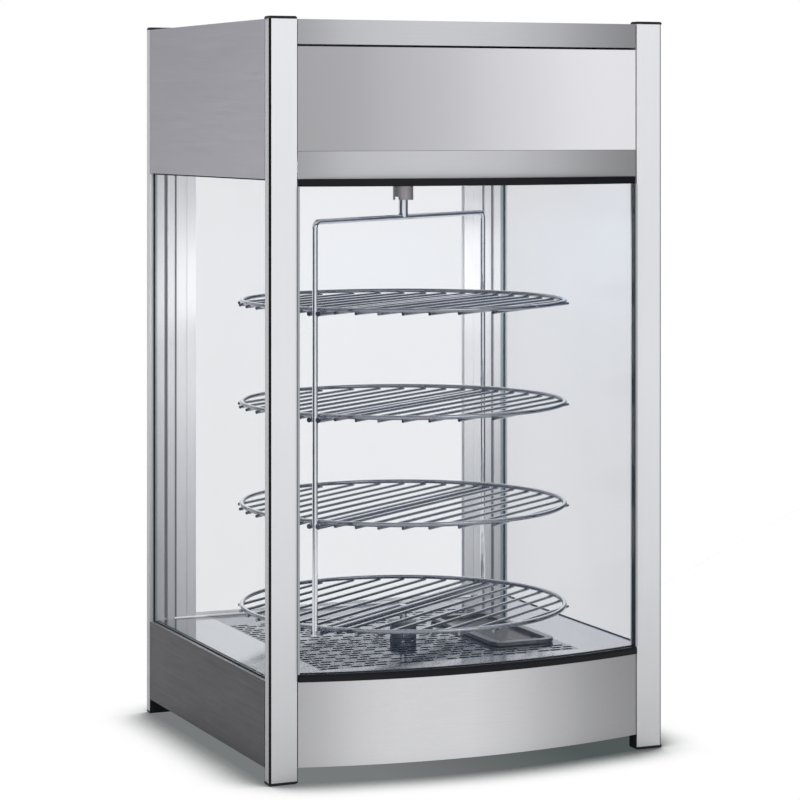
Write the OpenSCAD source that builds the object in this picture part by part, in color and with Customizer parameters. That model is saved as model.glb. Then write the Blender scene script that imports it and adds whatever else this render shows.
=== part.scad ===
// Heated display case: a glazed cabinet on a heated base, with four wire racks that turn

/* [Case] */
// Width over the posts
body_w = 465; // [420:1:520]
// Depth over the posts
body_d = 406; // [360:1:460]
// Height over the post caps
body_h = 805; // [760:1:860]
// Forward bow of the lower front panel at its middle
front_bow = 28; // [20:1:36]
// Height of the panels' lower edge above the counter
panel_low = 17; // [12:1:24]
// Height of the floor plate's upper face
floor_top = 109; // [100:1:120]
// Height of the upper box's lower edge
upper_low = 634; // [620:1:660]
// Thickness of the folded sheet
sheet = 1; // [0.8:0.1:1.5]
// Thickness of the panes
pane = 4; // [3:0.5:6]

/* [Posts] */
// Width of each post, across the case
post_w = 31; // [28:1:36]
// Depth of the front posts
front_post_d = 15; // [12:1:20]
// Depth of the rear posts
rear_post_d = 10.4; // [9:0.1:14]
// Thickness of the end caps
cap_t = 3; // [2:0.5:5]
// Chamfer at the outer front corner that the dark bead fills
bead_cut = 2.2; // [1.5:0.1:3]

/* [Fascia] */
// Height of the upper edge of the lower rail
lower_rail_top = 663; // [650:1:680]
// Height of the upper edge of the sign panel
sign_top = 773.4; // [740:0.2:780]
// Height of the lower edge of the top rail
top_rail_low = 775.8; // [760:0.2:785]

/* [Racks] */
// Radius of the rack ring, on the wire's middle
ring_r = 183.3; // [150:0.1:186]
// Thickness of the ring wire
ring_wire = 5; // [4:0.5:6]
// Thickness of the cross wires
cross_wire = 3.5; // [3:0.5:4]
// Thickness of the paired middle bars
middle_bar = 5.5; // [5:0.5:6]
// Height of the lowest ring
rack_low = 147.4; // [140:0.1:160]
// Distance from one rack to the next
rack_step = 114.7; // [100:0.1:120]
// Distance of the first cross wire from the middle
first_wire = 22.5; // [18:0.5:30]
// Distance from one cross wire to the next
wire_step = 23.6; // [20:0.1:24]
// Direction of the cross wires at rest, from the case's width
rack_turn = 36.5; // [0:0.5:90]
// Distance of the racks' middle in front of the posts' middle
rack_forward = 18.4; // [10:0.1:24]
// Thickness of the hanger wire
hanger_wire = 6; // [5:0.5:8]
// Height of the hanger's cross piece
hanger_top = 586; // [570:1:600]

/* [Rear door] */
// Width of the door stiles
stile_w = 24; // [20:1:30]
// Thickness of the door stiles
stile_t = 9; // [8:0.5:12]
// Gap between a stile and its post
door_gap = 2.7; // [2:0.1:4]
// Radius of the hinge pins
hinge_pin_r = 2.5; // [2:0.1:3]

/* [Floor] */
// Length of a floor slot
slot_l = 12; // [8:0.1:13]
// Width of a floor slot
slot_w = 6.2; // [2:0.1:7]
// Distance between the three slots of a group
slot_dx = 14.2; // [13.5:0.1:18]
// Distance between the groups of a row
slot_group = 56; // [50:0.5:60]
// Shift of every second row
slot_shift = 20.5; // [0:0.5:40]
// Distance between the slot rows
slot_dy = 11.6; // [10:0.1:14]
// Width of the water pan over its rim
pan_w = 77; // [60:1:80]
// Length of the water pan over its rim
pan_l = 188; // [160:1:200]
// Height of the water pan
pan_h = 5; // [4:0.5:12]

/* [Hidden] */
$fn = 96;

// Half sizes of the case over its posts
hw = body_w / 2;
hd = body_d / 2;
// Step round the outer face of each cap
cap_step = 0.8;
// Length of the posts between their caps
post_top = body_h - cap_t;
post_len = post_top - cap_t;
// Inner sides of the posts
post_in = hw - post_w;
front_post_back = -hd + front_post_d;
rear_post_front = hd - rear_post_d;
// Gap where panels meet posts
seam = 0.2;
// Reveal between the front panels and the posts
reveal = 1.2;
// How far the side face steps in behind its front strip
side_step = 0.8;
side_strip = 6;
// Wall of the post tubes, and where their hollows begin
post_wall = 2.4;
front_hollow_x = 5;
front_hollow_y = 4;
front_hollow_w = post_w - front_hollow_x - post_wall;
front_hollow_d = front_post_d - front_hollow_y - post_wall;
rear_hollow_y = 3.6;
rear_hollow_d = rear_post_d - rear_hollow_y - post_wall;
// Panels sit this far inside the posts' outer face
panel_inset = 0.2;
// Radius and middle of the front bow
bow_half = 199;
bow_r = (bow_half * bow_half + front_bow * front_bow) / (2 * front_bow);
bow_y = -hd - front_bow + bow_r;
// The front pane stands inside the lower panel's face
glass_r = bow_r - 2;
// Fold width of the panels
fold = 10.2;
// Middle of the racks
rack_y = -rack_forward;
// Side panes and their gaskets
side_pane_x = hw - 5.5;
gasket_out = hw - 4.5;
gasket_low = floor_top - sheet;
// Gaps between a side pane's edges and what stands round it
pane_gap = 0.3;
pane_end_gap = 0.2;
side_pane_l = rear_post_front - front_post_back - 2 * pane_gap;
side_pane_h = upper_low - gasket_low - 2 * pane_end_gap;
// Lowest and highest faces of the front trims
low_trim_z = floor_top - 2.3;
low_trim_top = floor_top + 5.5;
up_trim_z = upper_low - 8;
// Door outline
door_low = floor_top + 1.6;
door_top = upper_low - 2;
stile_out = post_in - door_gap;
door_y = rear_post_front + 0.9;
hinge_x = stile_out - 8.8;
hinge_y = door_y + stile_t / 2;
// Groove for the door pane in each stile, and the thin line on the stiles' inner faces
door_pane_y = 2.5;
door_grip = 6;
stile_line = 11.8;
line_w = 1.2;
// Hub and shafts
hub_r = 15;
hub_top = floor_top + 18;
hub_low = floor_top + 0.6;
pin_r = 4;
set_screw_r = 2;
stub_r = 5.4;
fit_gap = 0.05;
bearing_low = 605.5;
bearing_r = 11.6;
ceiling_z = upper_low + sheet;
// Radius of the hanger's uprights, which stand just outside the rings
hanger_gap = 1.4;
hanger_r = ring_r + ring_wire / 2 + hanger_wire / 2 + hanger_gap;
hanger_bend = 7;
hanger_low = rack_low - 7.5;
bar_off = hanger_wire / 2 + middle_bar / 2;
weld = 0.9;
// Water pan outline
pan_x = 105.5;
pan_y = -28;
pan_corner = 15;
pan_rim = 8;
pan_wall = 0.8;
// Direction of the hub's grub screw and of the bearing's notch at rest
mark_turn = -23;
set_screw_z = floor_top + 3.8;
// Motor under the floor
motor_top = 96;
motor_w = 62;
motor_h = 42;
bridge_w = 112;
bridge_t = 2;
// Heating element
heater_r = 3.3;
heater_z = 64;
heater_x = 140;
heater_front = -140;
heater_bend = 34;
heater_back = 150;
// Controls in the rear base panel
control_z = 62;
power_x = -150;
light_x = -110;
knob_x = -40;
gland_x = 150;
gland_z = 44;
gland_hole_r = 8;
cord_r = 4.2;
spindle_r = 3;
sleeve_r = 5;
rocker_w = 12.4;
rocker_h = 24;
rocker_pin_r = 1.2;
// Rest angle of the rockers, which tilt as far to the other side
rocker_tilt = 9;
panel_back = hd - 0.4;
rocker_y = panel_back - 1;
// Screws that hold the rear panels to the flanges behind them
screw_x = 186;
base_screw_z = [28, 94];
upper_screw_z = [655, 780];
screw_hole_r = 1.6;
screw_r = 1.5;
flange_y = panel_back - 2 * sheet;
// Screws of the motor and of the top bearing
motor_screw_x = 24;
bearing_screw_r = 17;
bearing_flange = 3;
// Lamps over the ceiling and their openings
lamp_x = 110;
lamp_hole_r = 30;

// Mirror a left piece to the right
module both() {
    children();
    mirror([1, 0, 0]) children();
}

// Plan of a rounded rectangle about its middle
module rounded_plan(w, l, r) {
    square([w - 2 * r, l], center = true);
    square([w, l - 2 * r], center = true);
    for (sx = [-1, 1])
        for (sy = [-1, 1])
            translate([sx * (w / 2 - r), sy * (l / 2 - r)]) circle(r);
}

// Plan of the front bow out to radius r, between the posts
module bow_plan(r, half, back) {
    intersection() {
        translate([0, bow_y]) circle(r, $fn = 360);
        translate([-half, -hd - front_bow - 20]) square([2 * half, back + hd + front_bow + 20]);
    }
}

// Solid bow slice from radius r1 to r2
module bow_slice(r1, r2, half, z1, z2) {
    translate([0, 0, z1]) linear_extrude(height = z2 - z1)
        intersection() {
            translate([0, bow_y]) difference() {
                circle(r2, $fn = 360);
                circle(r1, $fn = 360);
            }
            translate([-half, -hd - front_bow - 20]) square([2 * half, front_bow + 60]);
        }
}

// Rear flange of a plate, standing behind a rear panel and drilled for its screws at height z
module rear_flange(z1, z2, z) {
    difference() {
        translate([-post_in + seam, flange_y, z1]) cube([2 * post_in - 2 * seam, sheet, z2 - z1]);
        screw_holes([z]);
    }
}

// Holes for the screws of the rear panels at the heights zs
module screw_holes(zs) {
    for (x = [-screw_x, screw_x])
        for (z = zs)
            translate([x, hd - 10, z]) rotate([-90, 0, 0]) cylinder(r = screw_hole_r, h = 20);
}

// Plan of a plate that reaches from post to post, back to the rear panels' flanges
module plate_plan() {
    translate([-hw + 1.6, front_post_back]) square([body_w - 3.2, rear_post_front - front_post_back]);
    translate([-post_in, -hd + 3]) square([2 * post_in, flange_y + hd - 2]);
}

// Section of the left front post, open at the corner bead
module front_post_plan() {
    d = bead_cut / 2;
    difference() {
        polygon([
            [-hw, -hd + bead_cut],
            [-hw + d, -hd + bead_cut + d],
            [-hw + bead_cut + d, -hd + d],
            [-hw + bead_cut, -hd],
            [-post_in, -hd],
            [-post_in, front_post_back],
            [-hw + side_step, front_post_back],
            [-hw + side_step, -hd + side_strip],
            [-hw, -hd + side_strip]
        ]);
        translate([-hw + front_hollow_x, -hd + front_hollow_y]) square([front_hollow_w, front_hollow_d]);
    }
}

// Left front post
module front_post() {
    translate([0, 0, cap_t]) linear_extrude(height = post_len) front_post_plan();
}

// Left rear post, with the groove that faces the cabinet
module rear_post() {
    groove_x = 18.2;
    groove_w = 4;
    groove_d = 2.6;
    translate([0, 0, cap_t]) linear_extrude(height = post_len)
        difference() {
            translate([-hw, rear_post_front]) square([post_w, rear_post_d]);
            translate([-hw + groove_x, rear_post_front - 1]) square([groove_w, groove_d + 1]);
            translate([-hw + post_wall, rear_post_front + rear_hollow_y])
                square([post_w - 2 * post_wall, rear_hollow_d]);
        }
}

module post_front_left() color("gainsboro") front_post();
module post_front_right() color("gainsboro") mirror([1, 0, 0]) front_post();
module post_rear_left() color("gainsboro") rear_post();
module post_rear_right() color("gainsboro") mirror([1, 0, 0]) rear_post();

// Dark beads that fill the outer front corners
module corner_beads() {
    d = bead_cut / 2;
    color("black") both()
        translate([0, 0, cap_t]) linear_extrude(height = post_len)
            polygon([
                [-hw, -hd + bead_cut],
                [-hw + bead_cut, -hd],
                [-hw + bead_cut + d, -hd + d],
                [-hw + d, -hd + bead_cut + d]
            ]);
}

// End plate with a small step round its outer face, and a plug for the tube
module end_cap(y1, y2, plug_x, plug_w, plug_y, plug_d) {
    plug_len = 12;
    ease = 0.1;
    translate([-hw, y1, 0]) cube([post_w, y2 - y1, cap_t - cap_step]);
    translate([-hw + cap_step, y1 + cap_step, -cap_step])
        cube([post_w - 2 * cap_step, y2 - y1 - 2 * cap_step, cap_t]);
    translate([plug_x + ease, plug_y + ease, cap_t - cap_step - 0.01])
        cube([plug_w - 2 * ease, plug_d - 2 * ease, plug_len]);
}

// Front and rear caps of the left side, their steps under the plane z = 0
module caps_left() {
    end_cap(-hd, front_post_back, -hw + front_hollow_x, front_hollow_w,
        -hd + front_hollow_y, front_hollow_d);
    end_cap(rear_post_front, hd, -hw + post_wall, post_w - 2 * post_wall,
        rear_post_front + rear_hollow_y, rear_hollow_d);
}

// Caps on the posts' upper ends
module top_caps() {
    color("black") both()
        translate([0, 0, body_h - cap_step]) mirror([0, 0, 1]) caps_left();
}

// Feet under the posts, with a skirt over the posts' inner faces
module foot_caps() {
    skirt = 1;
    skirt_h = panel_low - seam - cap_step;
    set_back = 0.5;
    color("black") both() {
        translate([0, 0, cap_step]) caps_left();
        translate([-post_in, -hd + set_back, cap_step])
            cube([skirt, front_post_d - set_back + skirt, skirt_h]);
        translate([-hw + side_step, front_post_back, cap_step])
            cube([post_w - side_step + skirt, skirt, skirt_h]);
        translate([-hw + seam, rear_post_front - skirt, cap_step])
            cube([post_w - seam + skirt, skirt, skirt_h]);
        translate([-post_in, rear_post_front - skirt, cap_step])
            cube([skirt, rear_post_d - set_back + skirt, skirt_h]);
    }
}

// Bottom tray of the base
module base_pan() {
    vent_l = 40;
    vent_w = 4;
    lip = 14;
    low = panel_low + sheet;
    color("silver") difference() {
        union() {
            translate([0, 0, low]) linear_extrude(height = sheet)
                union() {
                    bow_plan(bow_r - sheet - seam, post_in, front_post_back + 2);
                    plate_plan();
                }
            rear_flange(low, low + lip, base_screw_z[0]);
        }
        for (k = [-3:3])
            translate([k * 22 - vent_w / 2, -90 - vent_l / 2, panel_low]) cube([vent_w, vent_l, 3 * sheet]);
    }
}

// Bowed panel of the base
module base_front_panel() {
    half = post_in - reveal;
    color("silver") {
        bow_slice(bow_r - sheet, bow_r, half, panel_low, low_trim_z);
        bow_slice(bow_r - fold, bow_r - sheet / 2, half, panel_low, panel_low + sheet);
        bow_slice(bow_r - fold, bow_r - sheet / 2, half, low_trim_z - sheet, low_trim_z);
    }
}

// Folded side panel from z1 to z2, with flanges that turn inwards
module side_panel(z1, z2) {
    y1 = front_post_back + seam;
    len = rear_post_front - seam - y1;
    translate([-hw + panel_inset, y1, z1]) cube([sheet, len, z2 - z1]);
    translate([-hw + panel_inset, y1, z1]) cube([fold, len, sheet]);
    translate([-hw + panel_inset, y1, z2 - sheet]) cube([fold, len, sheet]);
}

module base_left_panel() color("silver") side_panel(panel_low, gasket_low);
module base_right_panel() color("silver") mirror([1, 0, 0]) side_panel(panel_low, gasket_low);
module upper_left_panel() color("silver") side_panel(upper_low, post_top);
module upper_right_panel() color("silver") mirror([1, 0, 0]) side_panel(upper_low, post_top);

// Rear panel of the base, with the holes for the controls and the vent slots
module base_rear_panel() {
    z1 = panel_low;
    z2 = floor_top - 3;
    vent_l = 26;
    vent_w = 3;
    color("silver") difference() {
        translate([-post_in + seam, panel_back - sheet, z1]) cube([2 * post_in - 2 * seam, sheet, z2 - z1]);
        for (x = [power_x, light_x])
            translate([x - rocker_w / 2 - 1, hd - 10, control_z - rocker_h / 2 - 1])
                cube([rocker_w + 2, 20, rocker_h + 2]);
        translate([knob_x, hd - 10, control_z]) rotate([-90, 0, 0])
            cylinder(r = sleeve_r + seam, h = 20);
        translate([gland_x, hd - 10, gland_z]) rotate([-90, 0, 0]) cylinder(r = gland_hole_r, h = 20);
        for (k = [0:7])
            translate([30 + k * 11, hd - 10, control_z - vent_l / 2]) cube([vent_w, 20, vent_l]);
        screw_holes(base_screw_z);
    }
}

// A slot is left out where the pan or the hub stands
function slot_here(x, y) =
    let (
        on_pan = abs(x - pan_x) < pan_w / 2 + 8 && abs(y - pan_y) < pan_l / 2 + 5,
        on_hub = norm([x, y - rack_y]) < hub_r + 8
    )
    !(on_pan || on_hub);

// Plan of the slotted field: rows with slots in groups of three, cut off at the field's sides
module slot_plan() {
    rows = 25;
    groups = 7;
    field_x = [-157.5, 148];
    first_x = -177.6;
    first_y = -160;
    for (r = [0:rows - 1])
        for (g = [0:groups - 1])
            for (k = [0:2]) {
                x = first_x + (r % 2) * slot_shift + g * slot_group + k * slot_dx;
                y = first_y + r * slot_dy;
                x1 = max(x, field_x[0]);
                x2 = min(x + slot_l, field_x[1]);
                if (x2 - x1 > slot_w / 2 && slot_here((x1 + x2) / 2, y))
                    translate([x1, y - slot_w / 2]) square([x2 - x1, slot_w]);
            }
}

// Floor of the cabinet, with slots over the heater
module floor_plate() {
    wide = side_pane_x - pane - seam;
    back = flange_y + sheet - rear_post_front;
    flange_low = 88;
    color("silver") {
        translate([0, 0, floor_top - sheet]) linear_extrude(height = sheet)
            difference() {
                union() {
                    bow_plan(glass_r - pane - 0.6, post_in - reveal, front_post_back + 2);
                    translate([-wide, front_post_back])
                        square([2 * wide, rear_post_front - front_post_back]);
                    translate([-post_in + seam, rear_post_front - 2])
                        square([2 * (post_in - seam), back + 2]);
                }
                slot_plan();
                translate([0, rack_y]) circle(pin_r + 1.5);
                translate([hinge_x, hinge_y]) circle(hinge_pin_r);
            }
        rear_flange(flange_low, floor_top - sheet / 2, base_screw_z[1]);
    }
}

// Dark channel along the foot of the front pane
module front_lower_trim() {
    half = post_in - reveal;
    color("black") difference() {
        union() {
            bow_slice(glass_r - pane - 3, bow_r + 3, half, low_trim_z, low_trim_top - 2);
            bow_slice(glass_r - pane - 3, bow_r + 2, half, low_trim_top - 2, low_trim_top);
        }
        bow_slice(glass_r - pane - 0.1, glass_r + 0.1, half + 1, low_trim_z + 2, low_trim_top + 1);
        bow_slice(glass_r - pane - 4, glass_r - pane - 0.2, half + 1, low_trim_z - 1, floor_top + 0.05);
    }
}

// Dark channel along the head of the front pane, closing the bow under the flat fascia
module front_upper_trim() {
    half = post_in - 3.5;
    color("black") difference() {
        union() {
            bow_slice(glass_r - pane - 3, bow_r + 2, half, up_trim_z, upper_low - 2);
            translate([0, 0, upper_low - 3]) linear_extrude(height = 3)
                bow_plan(bow_r + 2, half, -hd + 14);
        }
        bow_slice(glass_r - pane - 0.1, glass_r + 0.1, half + 1, up_trim_z - 1, upper_low - 3);
    }
}

// Bent front pane
module front_glass() {
    color("lightblue", 0.35)
        bow_slice(glass_r - pane, glass_r, post_in - 2.6, low_trim_z + 2.1, upper_low - 3.1);
}

// Strips between the front pane's edges and the posts
module front_glass_seals() {
    edge = post_in - 2.5;
    color("black") both()
        translate([-post_in + 0.05, -hd - 1.6, low_trim_top + 0.1])
            cube([post_in - edge - 0.05, 9.6, up_trim_z - low_trim_top - 0.2]);
}

// Side pane behind its gasket
module side_glass() {
    translate([-side_pane_x, front_post_back + pane_gap, gasket_low + pane_end_gap])
        cube([pane, side_pane_l, side_pane_h]);
}

module left_glass() color("lightblue", 0.35) side_glass();
module right_glass() color("lightblue", 0.35) mirror([1, 0, 0]) side_glass();

// Flat gasket on the outer face of a side pane, along its edges
module side_gasket() {
    y1 = front_post_back + seam;
    len = rear_post_front - seam - y1;
    thick = gasket_out - side_pane_x;
    band_front = 3;
    band_rear = 4;
    band_low = 1.5;
    band_top = 1.6;
    difference() {
        translate([-gasket_out, y1, gasket_low]) cube([thick, len, upper_low - gasket_low]);
        translate([-gasket_out - 1, y1 + band_front, gasket_low + band_low])
            cube([thick + 2, len - band_front - band_rear, upper_low - gasket_low - band_low - band_top]);
    }
}

module left_gasket() color("black") side_gasket();
module right_gasket() color("black") mirror([1, 0, 0]) side_gasket();

// Rear panel of the upper box, with vent slots
module upper_rear_panel() {
    vent_l = 60;
    vent_w = 4;
    color("silver") difference() {
        union() {
            translate([-post_in + seam, panel_back - sheet, upper_low])
                cube([2 * post_in - 2 * seam, sheet, post_top - upper_low]);
            translate([-post_in + seam, panel_back - fold, upper_low])
                cube([2 * post_in - 2 * seam, fold, sheet]);
        }
        for (k = [-4:4])
            translate([k * 30 - vent_w / 2, hd - 5, 700 - vent_l / 2]) cube([vent_w, 10, vent_l]);
        translate([hinge_x, hinge_y, upper_low - 1]) cylinder(r = hinge_pin_r, h = 3);
        screw_holes(upper_screw_z);
    }
}

// Roof, lying under the side panels' flanges
module roof_panel() {
    flange_low = 768;
    color("silver") {
        translate([0, 0, post_top - 2 * sheet]) linear_extrude(height = sheet) plate_plan();
        rear_flange(flange_low, post_top - sheet, upper_screw_z[1]);
    }
}

// Ceiling of the cabinet, with the lamps' openings
module ceiling_plate() {
    flange_top = 667;
    color("silver") {
        translate([0, 0, ceiling_z]) linear_extrude(height = sheet)
            difference() {
                plate_plan();
                for (x = [-lamp_x, lamp_x])
                    translate([x, rack_y]) circle(lamp_hole_r);
                bearing_screw_places() circle(screw_hole_r);
                translate([hinge_x, hinge_y]) circle(hinge_pin_r);
            }
        rear_flange(ceiling_z, flange_top, upper_screw_z[0]);
    }
}

// Places of the top bearing's screws
module bearing_screw_places() {
    for (a = [90:120:330])
        translate([bearing_screw_r * cos(a), rack_y + bearing_screw_r * sin(a)]) children();
}

// Folded rail of the fascia from z1 to z2
module fascia_rail(z1, z2) {
    half = post_in - reveal;
    deep = 12;
    translate([-half, -hd + 1, z1]) cube([2 * half, sheet, z2 - z1]);
    translate([-half, -hd + 1, z1]) cube([2 * half, deep, sheet]);
    translate([-half, -hd + 1, z2 - sheet]) cube([2 * half, deep, sheet]);
}

module top_rail() color("silver") fascia_rail(top_rail_low, post_top);
module lower_rail() color("silver") fascia_rail(upper_low, lower_rail_top);

// Blank sign panel, flush between the rails
module sign_panel() {
    half = post_in - reveal;
    color("whitesmoke")
        translate([-half, -hd + 1.2, lower_rail_top + 0.3])
            cube([2 * half, 3, sign_top - lower_rail_top - 0.3]);
}

// Holders and stands of the two lamps over the ceiling
module lamp_holders() {
    base_z = ceiling_z + sheet;
    color("white") for (x = [-lamp_x, lamp_x])
        translate([x, rack_y, 0]) {
            difference() {
                translate([0, 0, base_z + 56]) cylinder(r = 17, h = 30);
                translate([0, 0, base_z + 55]) cylinder(r = 13.2, h = 21);
            }
            translate([-10, 15.5, base_z + 62]) cube([20, 24, 2]);
            translate([-10, 37.5, base_z]) cube([20, 2, 64]);
            translate([-10, 37.5, base_z]) cube([20, 16, 2]);
        }
}

// Lamps that shine down through the ceiling
module lamp_bulbs() {
    base_z = ceiling_z + sheet;
    color("white") for (x = [-lamp_x, lamp_x])
        translate([x, rack_y, base_z]) rotate_extrude()
            polygon(concat(
                [[0, 76], [13, 76], [13, 52]],
                [for (a = [55:-5:-90]) [22 * cos(a), 33 + 22 * sin(a)]]
            ));
}

// Bearing under the ceiling, with the notch through which the stub lifts out
module top_bearing() {
    flange_r = 22;
    notch_w = 5;
    notch_h = 3.6;
    color("dimgray") difference() {
        union() {
            translate([0, rack_y, bearing_low]) cylinder(r = bearing_r, h = ceiling_z - bearing_low);
            translate([0, rack_y, ceiling_z - bearing_flange]) cylinder(r = flange_r, h = bearing_flange);
        }
        translate([0, rack_y, bearing_low - 1]) cylinder(r = stub_r + fit_gap, h = 20);
        translate([0, rack_y, bearing_low - 1]) rotate([0, 0, mark_turn])
            translate([-stub_r - notch_w + 1.4, -20, 0]) cube([notch_w, 40, notch_h + 1]);
        bearing_screw_places()
            translate([0, 0, ceiling_z - bearing_flange - 1])
                cylinder(r = screw_hole_r, h = bearing_flange + 2);
    }
}

// Bar of radius r from the middle of the racks, along the racks' wires
module rack_bar(off, half, z, r) {
    translate([0, rack_y, 0]) rotate([0, 0, rack_turn])
        translate([-half, off, z]) rotate([0, 90, 0]) cylinder(r = r, h = 2 * half, $fn = 32);
}

// Wire hanger: a cross piece with two uprights and the stub that turns in the bearing
module hanger() {
    r = hanger_wire / 2;
    color("silver") translate([0, rack_y, 0]) rotate([0, 0, rack_turn]) {
        translate([-hanger_r + hanger_bend, 0, hanger_top]) rotate([0, 90, 0])
            cylinder(r = r, h = 2 * (hanger_r - hanger_bend), $fn = 48);
        for (s = [0, 180])
            rotate([0, 0, s]) {
                translate([hanger_r, 0, hanger_low])
                    cylinder(r = r, h = hanger_top - hanger_bend - hanger_low, $fn = 48);
                translate([hanger_r - hanger_bend, 0, hanger_top - hanger_bend]) rotate([90, 0, 0])
                    rotate_extrude(angle = 90, $fn = 96) translate([hanger_bend, 0]) circle(r, $fn = 48);
            }
        translate([0, 0, hanger_top]) cylinder(r = stub_r, h = 36);
    }
}

// Round rack: a ring with cross wires and a pair of middle bars welded under it
module rack(z) {
    wires = 7;
    nub = 3.6;
    wire_z = z - ring_wire / 2 - cross_wire / 2 + weld;
    bar_z = z - ring_wire / 2 - middle_bar / 2 + weld;
    color("silver") {
        for (a = [0:90:270])
            translate([0, rack_y, z]) rotate([0, 0, rack_turn + a])
                rotate_extrude(angle = 90, $fn = 120) translate([ring_r, 0]) circle(ring_wire / 2, $fn = 32);
        for (k = [0:wires - 1])
            for (s = [-1, 1]) {
                off = first_wire + k * wire_step;
                half = sqrt(pow(ring_r + nub, 2) - off * off);
                rack_bar(s * off, half, wire_z, cross_wire / 2);
            }
        for (s = [-1, 1])
            rack_bar(s * bar_off, hanger_r + 3, bar_z, middle_bar / 2);
    }
}

module rack_bottom() rack(rack_low);
module rack_lower() rack(rack_low + rack_step);
module rack_upper() rack(rack_low + 2 * rack_step);
module rack_top() rack(rack_low + 3 * rack_step);

// Pin under the bottom rack, with a tongue between the middle bars
module pivot_pin() {
    tongue = hanger_wire;
    bar_low = rack_low - ring_wire / 2 - middle_bar + weld;
    pin_low = floor_top + 8.5;
    color("silver") translate([0, rack_y, 0]) {
        translate([0, 0, pin_low]) cylinder(r = pin_r, h = bar_low - pin_low);
        intersection() {
            translate([0, 0, pin_low]) cylinder(r = pin_r, h = bar_low + 5 - pin_low);
            rotate([0, 0, rack_turn]) translate([-pin_r, -tongue / 2, pin_low])
                cube([2 * pin_r, tongue, 60]);
        }
    }
}

// Turning hub that carries the racks
module drive_hub() {
    edge = 1.6;
    web_low = 7;
    web_top = 8;
    color("dimgray") difference() {
        translate([0, rack_y, 0]) rotate_extrude()
            union() {
                translate([0, hub_low]) square([hub_r, hub_top - hub_low - edge]);
                translate([0, hub_low]) square([hub_r - edge, hub_top - hub_low]);
                translate([hub_r - edge, hub_top - edge]) circle(edge, $fn = 48);
            }
        translate([0, rack_y, floor_top + web_top]) cylinder(r = pin_r, h = 20);
        translate([0, rack_y, floor_top - 4]) cylinder(r = pin_r, h = 4 + web_low);
        translate([0, rack_y, set_screw_z]) rotate([0, 0, mark_turn]) rotate([90, 0, 0])
            cylinder(r = set_screw_r, h = 20, $fn = 48);
    }
}

// Grub screw that holds the hub on its shaft
module hub_set_screw() {
    len = 10.4;
    hex_r = 0.9;
    hex_deep = 2;
    color("gray") translate([0, rack_y, set_screw_z]) rotate([0, 0, mark_turn]) rotate([90, 0, 0])
        difference() {
            translate([0, 0, pin_r]) cylinder(r = set_screw_r, h = len, $fn = 48);
            translate([0, 0, pin_r + len - hex_deep]) cylinder(r = hex_r, h = 2 * hex_deep, $fn = 6);
        }
}

// Slow gear motor under the floor
module gear_motor() {
    cover_h = 18;
    color("gray") translate([0, rack_y, 0]) difference() {
        union() {
            translate([0, 0, motor_top - cover_h]) cylinder(r = motor_w / 2, h = cover_h);
            translate([0, 0, motor_top - motor_h]) cylinder(r = motor_w / 2 - 4, h = motor_h - cover_h);
            translate([-motor_w / 2, -6, motor_top - motor_h + 4]) cube([8, 12, 12]);
        }
        translate([0, 0, motor_top - 14]) cylinder(r = pin_r + fit_gap, h = 20);
        for (s = [-1, 1])
            translate([s * motor_screw_x, 0, motor_top - 8]) cylinder(r = screw_hole_r, h = 10, $fn = 48);
    }
}

// Bridge that carries the motor on the base pan
module motor_bracket() {
    deep = 50;
    low = panel_low + 2 * sheet;
    color("silver") translate([0, rack_y, 0]) difference() {
        union() {
            translate([-bridge_w / 2, -deep / 2, motor_top]) cube([bridge_w, deep, bridge_t]);
            for (s = [0, 1])
                mirror([s, 0, 0]) {
                    translate([-bridge_w / 2, -deep / 2, low]) cube([bridge_t, deep, motor_top - low]);
                    translate([-bridge_w / 2 - 14, -deep / 2, low]) cube([16, deep, bridge_t]);
                }
        }
        translate([0, 0, motor_top - 1]) cylinder(r = 8, h = 5);
        for (s = [-1, 1])
            translate([s * motor_screw_x, 0, motor_top - 1]) cylinder(r = screw_hole_r, h = 5, $fn = 48);
    }
}

// Output shaft of the motor, up into the hub
module motor_shaft() {
    low = motor_top - 13;
    top = floor_top + 6.8;
    color("silver") translate([0, rack_y, low]) cylinder(r = pin_r, h = top - low);
}

// Tubular heating element round the motor
module heating_element() {
    run = heater_back - heater_front - heater_bend;
    cross = 2 * (heater_x - heater_bend);
    end_r = 5;
    end_l = 12;
    stud_r = 1.5;
    stud_l = 12;
    color("dimgray") translate([0, 0, heater_z]) {
        translate([-cross / 2, heater_front, 0]) rotate([0, 90, 0])
            cylinder(r = heater_r, h = cross, $fn = 48);
        both() {
            translate([-heater_x, heater_front + heater_bend, 0]) rotate([-90, 0, 0])
                cylinder(r = heater_r, h = run, $fn = 48);
            translate([-heater_x + heater_bend, heater_front + heater_bend, 0]) rotate([0, 0, 180])
                rotate_extrude(angle = 90) translate([heater_bend, 0]) circle(heater_r, $fn = 48);
            translate([-heater_x, heater_back, 0]) rotate([-90, 0, 0])
                cylinder(r = end_r, h = end_l, $fn = 48);
            translate([-heater_x, heater_back + end_l, 0]) rotate([-90, 0, 0])
                cylinder(r = stud_r, h = stud_l, $fn = 48);
        }
    }
}

// Stands that hold the element off the base pan
module heater_brackets() {
    low = panel_low + 2 * sheet;
    wide = 16;
    thick = 1.5;
    foot = 14;
    over = 8;
    color("silver") both()
        for (y = [-70, 110])
            translate([-heater_x, y, 0]) difference() {
                union() {
                    translate([-wide / 2, 0, low]) cube([wide, thick, heater_z + over - low]);
                    translate([-wide / 2, 0, low]) cube([wide, foot, thick]);
                }
                translate([0, -1, heater_z]) rotate([-90, 0, 0])
                    cylinder(r = heater_r, h = thick + 2.5, $fn = 48);
            }
}

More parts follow.
